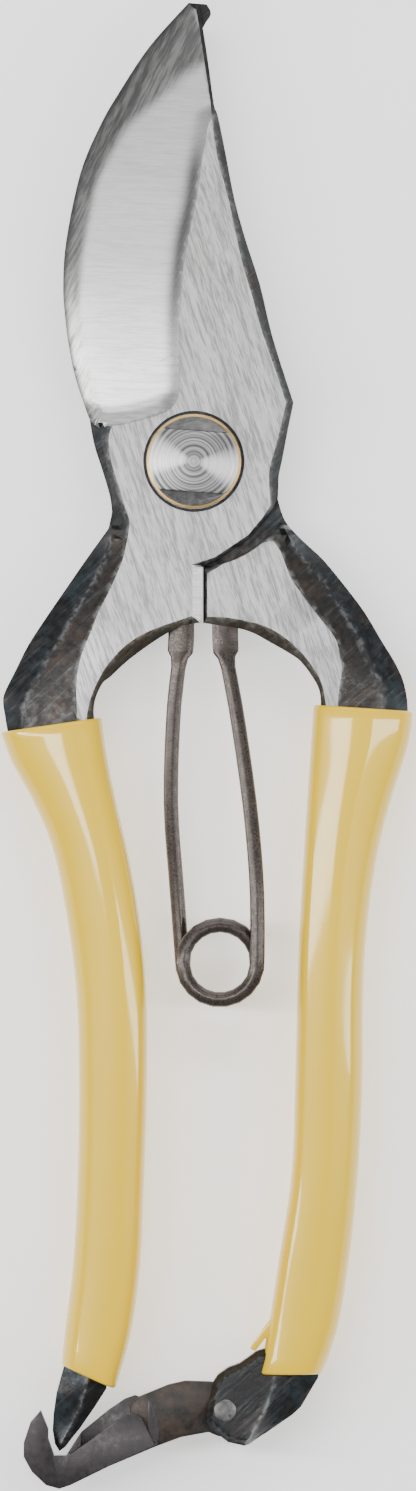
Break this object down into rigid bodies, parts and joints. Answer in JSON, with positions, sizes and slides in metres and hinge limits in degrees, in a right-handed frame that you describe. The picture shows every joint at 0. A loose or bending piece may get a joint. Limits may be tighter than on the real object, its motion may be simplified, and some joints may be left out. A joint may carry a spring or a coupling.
{
  "type": "bypass secateurs",
  "caption": "Forged bypass secateurs with sleeved handles, a coiled return spring and a swinging catch that latches the closed handles.",
  "frame": {"origin": "centre of the pivot bolt's rear end, which is flush with the nut's rear face", "axes": "+X towards the handle that carries the catch, +Y towards the blade's tip, +Z from the rear nut towards the bolt's head"},
  "size_m": [0.0554, 0.2, 0.0142],
  "materials": {
    "ground_steel": "ground, with fine straight grinding marks",
    "forged_steel": "black forge scale with temper tints",
    "vinyl": "glossy dipped vinyl",
    "brass": "satin",
    "bronzed_wire": "bronzed, oiled spring wire",
    "blacked_steel": "satin blacked sheet steel"
  },
  "bodies": {
    "hook_side": {"hook_arm": "forged_steel", "right_grip": "vinyl", "pivot_bolt": "ground_steel", "brass_washer": "brass", "rear_washer": "bronzed_wire", "pivot_nut": "blacked_steel", "catch_rivet": "ground_steel"},
    "blade_side": {"blade_arm": "ground_steel", "left_grip": "vinyl"},
    "spring_coil": {"spring_coil_leg": "bronzed_wire"},
    "spring_left": {"spring_left_leg": "bronzed_wire"},
    "catch_swing": {"catch": "blacked_steel"}
  },
  "joints": [
    {"name": "blade_pivot", "type": "hinge", "parent": "hook_side", "child": "blade_side", "pos_m": [0, 0, 0], "axis": [0, 0, -1], "range_deg": [0, 34]},
    {"name": "spring_seat", "type": "hinge", "parent": "hook_side", "child": "spring_coil", "pos_m": [0.0042, -0.0199, 0], "axis": [0, 0, -1], "range_deg": [0, 24]},
    {"name": "spring_flex", "type": "hinge", "parent": "spring_coil", "child": "spring_left", "pos_m": [0.0035, -0.0674, 0], "axis": [0, 0, 1], "range_deg": [0, 14.5]},
    {"name": "catch_hinge", "type": "hinge", "parent": "hook_side", "child": "catch_swing", "pos_m": [0.0042, -0.1276, 0], "axis": [0, 0, 1], "range_deg": [0, 80]}
  ],
  "couplings": [
    {"joint": "spring_seat", "follows": "blade_pivot", "ratio": 0.6847},
    {"joint": "spring_flex", "follows": "blade_pivot", "ratio": 0.4064}
  ]
}
